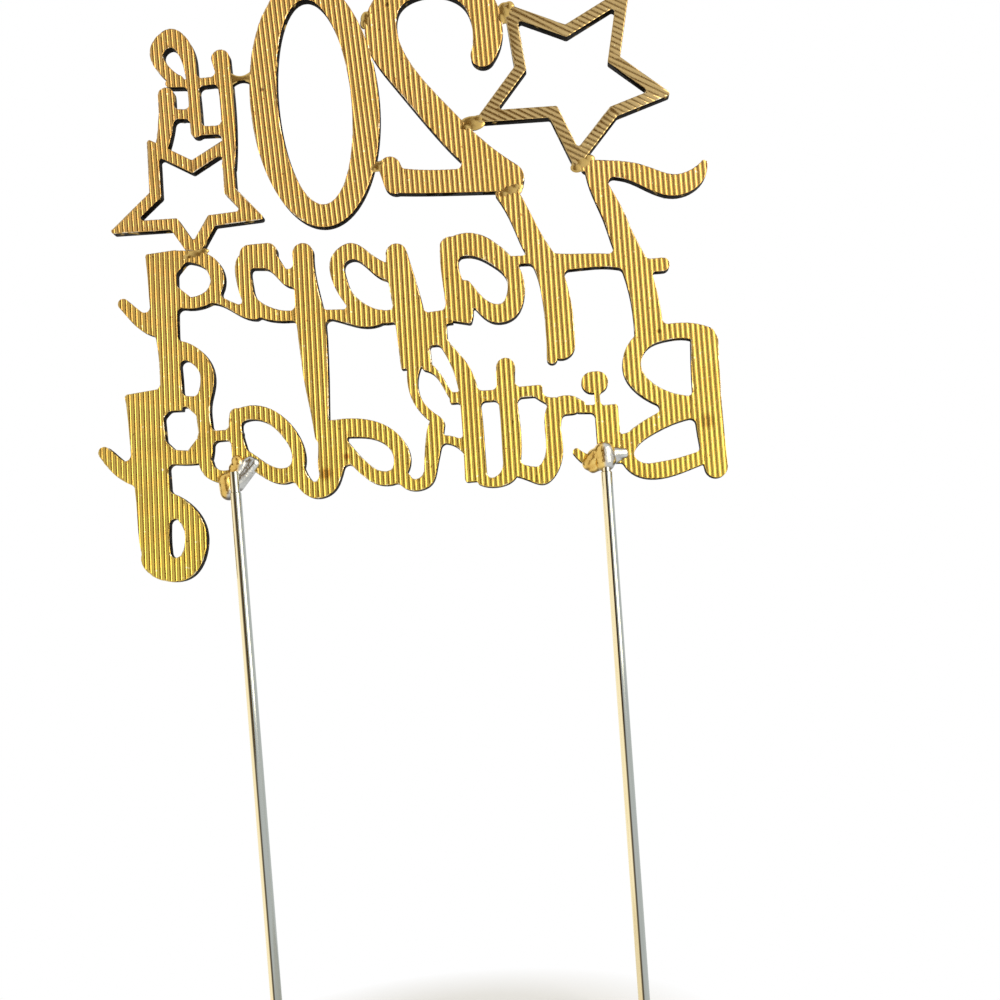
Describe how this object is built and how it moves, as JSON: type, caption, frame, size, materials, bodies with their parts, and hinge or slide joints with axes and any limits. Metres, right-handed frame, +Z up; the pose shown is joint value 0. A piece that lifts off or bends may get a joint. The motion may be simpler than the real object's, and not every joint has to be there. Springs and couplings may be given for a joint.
{
  "type": "cake topper",
  "caption": "Gold-plated lettering cake topper of soldered castings with ribbed backs and stone-set fronts, held over a cake by round wire pins pushed into the sponge.",
  "frame": {"origin": "at the top of the cake, midway between the two pins and on the plane of their axes", "axes": "+Z up, +X to the right of a person reading the front, +Y away from that person, towards the ribbed back where the pins are"},
  "size_m": [0.1149, 0.0057, 0.193],
  "materials": {
    "gold_casting": "gold-plated zinc casting, ribbed back, polished sides",
    "crystal": "foil-backed cut glass",
    "plated_solder": "gold-plated solder, smooth satin",
    "bright_solder": "bright tin solder with gold flash",
    "pin_wire": "gold-plated drawn steel wire, polished"
  },
  "bodies": {
    "root": {"numeral_zero": "gold_casting", "numeral_two": "gold_casting", "ordinal_casting": "gold_casting", "greeting_casting": "gold_casting", "large_star": "gold_casting", "stones_zero": "crystal", "stones_two": "crystal", "stones_ordinal": "crystal", "stones_small_star": "crystal", "stones_large_star": "crystal", "stones_happy": "crystal", "stones_birthday": "crystal", "solder_star_to_two_upper": "plated_solder", "solder_star_to_two_lower": "plated_solder", "solder_star_to_capital": "plated_solder", "solder_two_to_capital": "plated_solder", "solder_two_to_zero_upper": "plated_solder", "solder_two_to_zero_lower": "plated_solder", "solder_star_to_tail_letter": "plated_solder", "tie_bar": "plated_solder", "pin_left": "pin_wire", "pin_right": "pin_wire", "pin_joint_left": "bright_solder", "pin_joint_right": "bright_solder"}
  },
  "joints": []
}
